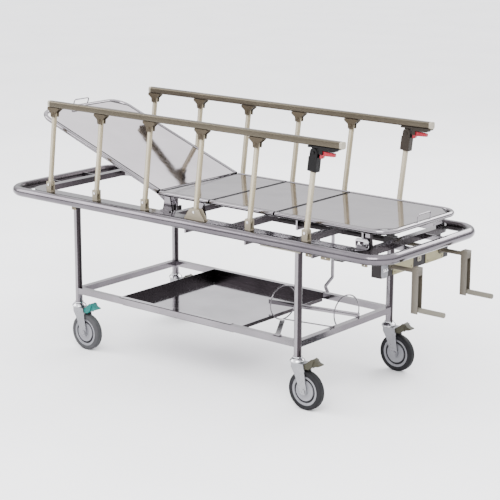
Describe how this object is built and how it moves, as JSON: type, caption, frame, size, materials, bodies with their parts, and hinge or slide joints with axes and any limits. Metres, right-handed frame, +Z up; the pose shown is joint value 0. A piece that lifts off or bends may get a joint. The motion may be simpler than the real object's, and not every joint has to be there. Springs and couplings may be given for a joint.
{
  "type": "stretcher trolley",
  "caption": "Hospital stretcher trolley: crank-raised backrest and knee section, folding side rails, bumper ring, storage tray, bottle holder and braked casters.",
  "frame": {"origin": "on the floor, under the middle of the bounding box", "axes": "+X towards the foot end with the cranks, -Y the near side, +Z up"},
  "size_m": [2.1479, 0.7068, 1.0459],
  "materials": {
    "stainless": "satin stainless tube",
    "mirror_plate": "bright polished stainless sheet",
    "bright_steel": "bright plated steel",
    "beige_post": "ivory powder coat, satin",
    "champagne": "champagne anodised, satin",
    "beige_plastic": "moulded beige plastic",
    "latch_black": "moulded black plastic",
    "latch_red": "moulded red plastic",
    "socket": "beige coated sheet steel",
    "channel": "cream powder coat",
    "crank_steel": "taupe powder coat",
    "grip": "moulded black plastic",
    "zinc": "zinc plated pressed steel",
    "hub": "moulded grey plastic",
    "tyre": "dark grey rubber",
    "pedal_grey": "moulded olive grey plastic",
    "pedal_teal": "moulded teal plastic"
  },
  "bodies": {
    "chassis": {"bumper_rail": "stainless", "main_frame": "stainless", "undercarriage": "stainless", "storage_tray": "stainless", "oxygen_holder": "stainless", "crank_channel": "channel", "post_sockets": "socket", "pivot_bolts": "bright_steel", "seat_frame": "stainless", "seat_panel": "mirror_plate", "caster_stems": "bright_steel"},
    "backrest": {"backrest_frame": "stainless", "backrest_panel": "mirror_plate"},
    "thigh_section": {"thigh_frame": "stainless", "thigh_panel": "mirror_plate"},
    "leg_section": {"leg_frame": "stainless", "leg_panel": "mirror_plate"},
    "back_rod": {"back_push_rod": "crank_steel"},
    "knee_rod": {"knee_pull_rod": "crank_steel"},
    "drip_rod": {"drip_rod": "stainless"},
    "near_crank": {"near_crank": "crank_steel"},
    "near_crank_grip": {"near_crank_grip": "grip"},
    "near_post_1": {"near_post_1": "beige_post"},
    "near_post_2": {"near_post_2": "beige_post"},
    "near_post_3": {"near_post_3": "beige_post"},
    "near_post_4": {"near_post_4": "beige_post"},
    "near_post_5": {"near_post_5": "beige_post"},
    "near_post_6": {"near_post_6": "beige_post", "near_latch_sleeve": "latch_black"},
    "near_rail": {"near_top_rail": "champagne", "near_rail_fittings": "beige_plastic"},
    "near_latch_lever": {"near_latch_lever": "latch_red"},
    "near_head_fork": {"near_head_fork": "zinc"},
    "near_head_wheel": {"near_head_hub": "hub", "near_head_tyre": "tyre"},
    "near_head_pedal": {"near_head_pedal": "pedal_teal"},
    "near_foot_fork": {"near_foot_fork": "zinc"},
    "near_foot_wheel": {"near_foot_hub": "hub", "near_foot_tyre": "tyre"},
    "near_foot_pedal": {"near_foot_pedal": "pedal_grey"},
    "far_crank": {"far_crank": "crank_steel"},
    "far_crank_grip": {"far_crank_grip": "grip"},
    "far_post_1": {"far_post_1": "beige_post"},
    "far_post_2": {"far_post_2": "beige_post"},
    "far_post_3": {"far_post_3": "beige_post"},
    "far_post_4": {"far_post_4": "beige_post"},
    "far_post_5": {"far_post_5": "beige_post"},
    "far_post_6": {"far_post_6": "beige_post", "far_latch_sleeve": "latch_black"},
    "far_rail": {"far_top_rail": "champagne", "far_rail_fittings": "beige_plastic"},
    "far_latch_lever": {"far_latch_lever": "latch_red"},
    "far_head_fork": {"far_head_fork": "zinc"},
    "far_head_wheel": {"far_head_hub": "hub", "far_head_tyre": "tyre"},
    "far_head_pedal": {"far_head_pedal": "pedal_grey"},
    "far_foot_fork": {"far_foot_fork": "zinc"},
    "far_foot_wheel": {"far_foot_hub": "hub", "far_foot_tyre": "tyre"},
    "far_foot_pedal": {"far_foot_pedal": "pedal_grey"}
  },
  "joints": [
    {"name": "backrest_tilt", "type": "hinge", "parent": "chassis", "child": "backrest", "pos_m": [-0.242, 0, 0.718], "axis": [0, 1, 0], "range_deg": [-20, 50]},
    {"name": "thigh_tilt", "type": "hinge", "parent": "chassis", "child": "thigh_section", "pos_m": [0.022, 0, 0.718], "axis": [0, -1, 0], "range_deg": [0, 35]},
    {"name": "knee_hinge", "type": "hinge", "parent": "thigh_section", "child": "leg_section", "pos_m": [0.35, 0, 0.718], "axis": [0, 1, 0], "range_deg": [0, 56.4]},
    {"name": "back_rod_slide", "type": "slide", "parent": "chassis", "child": "back_rod", "axis": [-1, 0, 0], "range_m": [-0.0284, 0.0708]},
    {"name": "knee_rod_slide", "type": "slide", "parent": "chassis", "child": "knee_rod", "axis": [1, 0, 0], "range_m": [0, 0.0513]},
    {"name": "near_crank_turn", "type": "hinge", "parent": "chassis", "child": "near_crank", "pos_m": [0.828, -0.167, 0.583], "axis": [1, 0, 0], "range_deg": [-400.2, 1000.2]},
    {"name": "near_grip_fold", "type": "hinge", "parent": "near_crank", "child": "near_crank_grip", "pos_m": [0.956, -0.167, 0.438], "axis": [0, -1, 0], "range_deg": [0, 90]},
    {"name": "near_rail_fold", "type": "hinge", "parent": "chassis", "child": "near_post_1", "pos_m": [-0.832, -0.29, 0.686], "axis": [0, 1, 0], "range_deg": [0, 75]},
    {"name": "near_post_2_pivot", "type": "hinge", "parent": "chassis", "child": "near_post_2", "pos_m": [-0.558, -0.29, 0.686], "axis": [0, 1, 0], "range_deg": [0, 75]},
    {"name": "near_post_3_pivot", "type": "hinge", "parent": "chassis", "child": "near_post_3", "pos_m": [-0.284, -0.29, 0.686], "axis": [0, 1, 0], "range_deg": [0, 75]},
    {"name": "near_post_4_pivot", "type": "hinge", "parent": "chassis", "child": "near_post_4", "pos_m": [-0.01, -0.29, 0.686], "axis": [0, 1, 0], "range_deg": [0, 75]},
    {"name": "near_post_5_pivot", "type": "hinge", "parent": "chassis", "child": "near_post_5", "pos_m": [0.264, -0.29, 0.686], "axis": [0, 1, 0], "range_deg": [0, 75]},
    {"name": "near_post_6_pivot", "type": "hinge", "parent": "chassis", "child": "near_post_6", "pos_m": [0.538, -0.29, 0.686], "axis": [0, 1, 0], "range_deg": [0, 75]},
    {"name": "near_rail_carry", "type": "hinge", "parent": "near_post_1", "child": "near_rail", "pos_m": [-0.79637, -0.29, 0.99395], "axis": [0, 1, 0], "range_deg": [-75, 0]},
    {"name": "near_latch_pull", "type": "hinge", "parent": "near_rail", "child": "near_latch_lever", "pos_m": [0.60563, -0.29, 0.99695], "axis": [0, 1, 0], "range_deg": [0, 12], "stiffness_Nm_per_rad": 0.4, "springref_deg": -8.59},
    {"name": "near_head_swivel", "type": "hinge", "parent": "chassis", "child": "near_head_fork", "pos_m": [-0.659, -0.306, 0.18], "axis": [0, 0, 1], "continuous": true},
    {"name": "near_head_wheel_spin", "type": "hinge", "parent": "near_head_fork", "child": "near_head_wheel", "pos_m": [-0.614, -0.306, 0.0775], "axis": [0, 1, 0], "continuous": true},
    {"name": "near_head_brake_pedal", "type": "hinge", "parent": "near_head_fork", "child": "near_head_pedal", "pos_m": [-0.623, -0.306, 0.171], "axis": [0, 1, 0], "range_deg": [0, 10]},
    {"name": "near_foot_swivel", "type": "hinge", "parent": "chassis", "child": "near_foot_fork", "pos_m": [0.515, -0.306, 0.18], "axis": [0, 0, 1], "continuous": true},
    {"name": "near_foot_wheel_spin", "type": "hinge", "parent": "near_foot_fork", "child": "near_foot_wheel", "pos_m": [0.56, -0.306, 0.0775], "axis": [0, 1, 0], "continuous": true},
    {"name": "near_foot_brake_pedal", "type": "hinge", "parent": "near_foot_fork", "child": "near_foot_pedal", "pos_m": [0.551, -0.306, 0.171], "axis": [0, 1, 0], "range_deg": [0, 10]},
    {"name": "far_crank_turn", "type": "hinge", "parent": "chassis", "child": "far_crank", "pos_m": [0.828, 0.167, 0.583], "axis": [1, 0, 0], "range_deg": [-0.1, 700.2]},
    {"name": "far_grip_fold", "type": "hinge", "parent": "far_crank", "child": "far_crank_grip", "pos_m": [0.956, 0.167, 0.438], "axis": [0, -1, 0], "range_deg": [0, 90]},
    {"name": "far_rail_fold", "type": "hinge", "parent": "chassis", "child": "far_post_1", "pos_m": [-0.794, 0.29, 0.686], "axis": [0, 1, 0], "range_deg": [0, 75]},
    {"name": "far_post_2_pivot", "type": "hinge", "parent": "chassis", "child": "far_post_2", "pos_m": [-0.524, 0.29, 0.686], "axis": [0, 1, 0], "range_deg": [0, 75]},
    {"name": "far_post_3_pivot", "type": "hinge", "parent": "chassis", "child": "far_post_3", "pos_m": [-0.254, 0.29, 0.686], "axis": [0, 1, 0], "range_deg": [0, 75]},
    {"name": "far_post_4_pivot", "type": "hinge", "parent": "chassis", "child": "far_post_4", "pos_m": [0.016, 0.29, 0.686], "axis": [0, 1, 0], "range_deg": [0, 75]},
    {"name": "far_post_5_pivot", "type": "hinge", "parent": "chassis", "child": "far_post_5", "pos_m": [0.286, 0.29, 0.686], "axis": [0, 1, 0], "range_deg": [0, 75]},
    {"name": "far_post_6_pivot", "type": "hinge", "parent": "chassis", "child": "far_post_6", "pos_m": [0.556, 0.29, 0.686], "axis": [0, 1, 0], "range_deg": [0, 75]},
    {"name": "far_rail_carry", "type": "hinge", "parent": "far_post_1", "child": "far_rail", "pos_m": [-0.75837, 0.29, 0.99395], "axis": [0, 1, 0], "range_deg": [-75, 0]},
    {"name": "far_latch_pull", "type": "hinge", "parent": "far_rail", "child": "far_latch_lever", "pos_m": [0.62363, 0.29, 0.99695], "axis": [0, 1, 0], "range_deg": [0, 12], "stiffness_Nm_per_rad": 0.4, "springref_deg": -8.59},
    {"name": "far_head_swivel", "type": "hinge", "parent": "chassis", "child": "far_head_fork", "pos_m": [-0.659, 0.306, 0.18], "axis": [0, 0, 1], "continuous": true},
    {"name": "far_head_wheel_spin", "type": "hinge", "parent": "far_head_fork", "child": "far_head_wheel", "pos_m": [-0.614, 0.306, 0.0775], "axis": [0, 1, 0], "continuous": true},
    {"name": "far_head_brake_pedal", "type": "hinge", "parent": "far_head_fork", "child": "far_head_pedal", "pos_m": [-0.623, 0.306, 0.171], "axis": [0, 1, 0], "range_deg": [0, 10]},
    {"name": "far_foot_swivel", "type": "hinge", "parent": "chassis", "child": "far_foot_fork", "pos_m": [0.515, 0.306, 0.18], "axis": [0, 0, 1], "continuous": true},
    {"name": "far_foot_wheel_spin", "type": "hinge", "parent": "far_foot_fork", "child": "far_foot_wheel", "pos_m": [0.56, 0.306, 0.0775], "axis": [0, 1, 0], "continuous": true},
    {"name": "far_foot_brake_pedal", "type": "hinge", "parent": "far_foot_fork", "child": "far_foot_pedal", "pos_m": [0.551, 0.306, 0.171], "axis": [0, 1, 0], "range_deg": [0, 10]},
    {"name": "drip_rod_lift", "type": "slide", "parent": "chassis", "child": "drip_rod", "axis": [0, 0, 1], "range_m": [0, 0.25]}
  ],
  "couplings": [
    {"joint": "knee_hinge", "follows": "thigh_tilt", "ratio": 1.6086},
    {"joint": "back_rod_slide", "follows": "backrest_tilt", "m_per_rad": 0.0808},
    {"joint": "knee_rod_slide", "follows": "thigh_tilt", "m_per_rad": 0.0837},
    {"joint": "near_crank_turn", "follows": "backrest_tilt", "ratio": 20},
    {"joint": "near_post_2_pivot", "follows": "near_rail_fold", "ratio": 1},
    {"joint": "near_post_3_pivot", "follows": "near_rail_fold", "ratio": 1},
    {"joint": "near_post_4_pivot", "follows": "near_rail_fold", "ratio": 1},
    {"joint": "near_post_5_pivot", "follows": "near_rail_fold", "ratio": 1},
    {"joint": "near_post_6_pivot", "follows": "near_rail_fold", "ratio": 1},
    {"joint": "near_rail_carry", "follows": "near_rail_fold", "ratio": -1},
    {"joint": "far_crank_turn", "follows": "thigh_tilt", "ratio": 20},
    {"joint": "far_post_2_pivot", "follows": "far_rail_fold", "ratio": 1},
    {"joint": "far_post_3_pivot", "follows": "far_rail_fold", "ratio": 1},
    {"joint": "far_post_4_pivot", "follows": "far_rail_fold", "ratio": 1},
    {"joint": "far_post_5_pivot", "follows": "far_rail_fold", "ratio": 1},
    {"joint": "far_post_6_pivot", "follows": "far_rail_fold", "ratio": 1},
    {"joint": "far_rail_carry", "follows": "far_rail_fold", "ratio": -1}
  ]
}
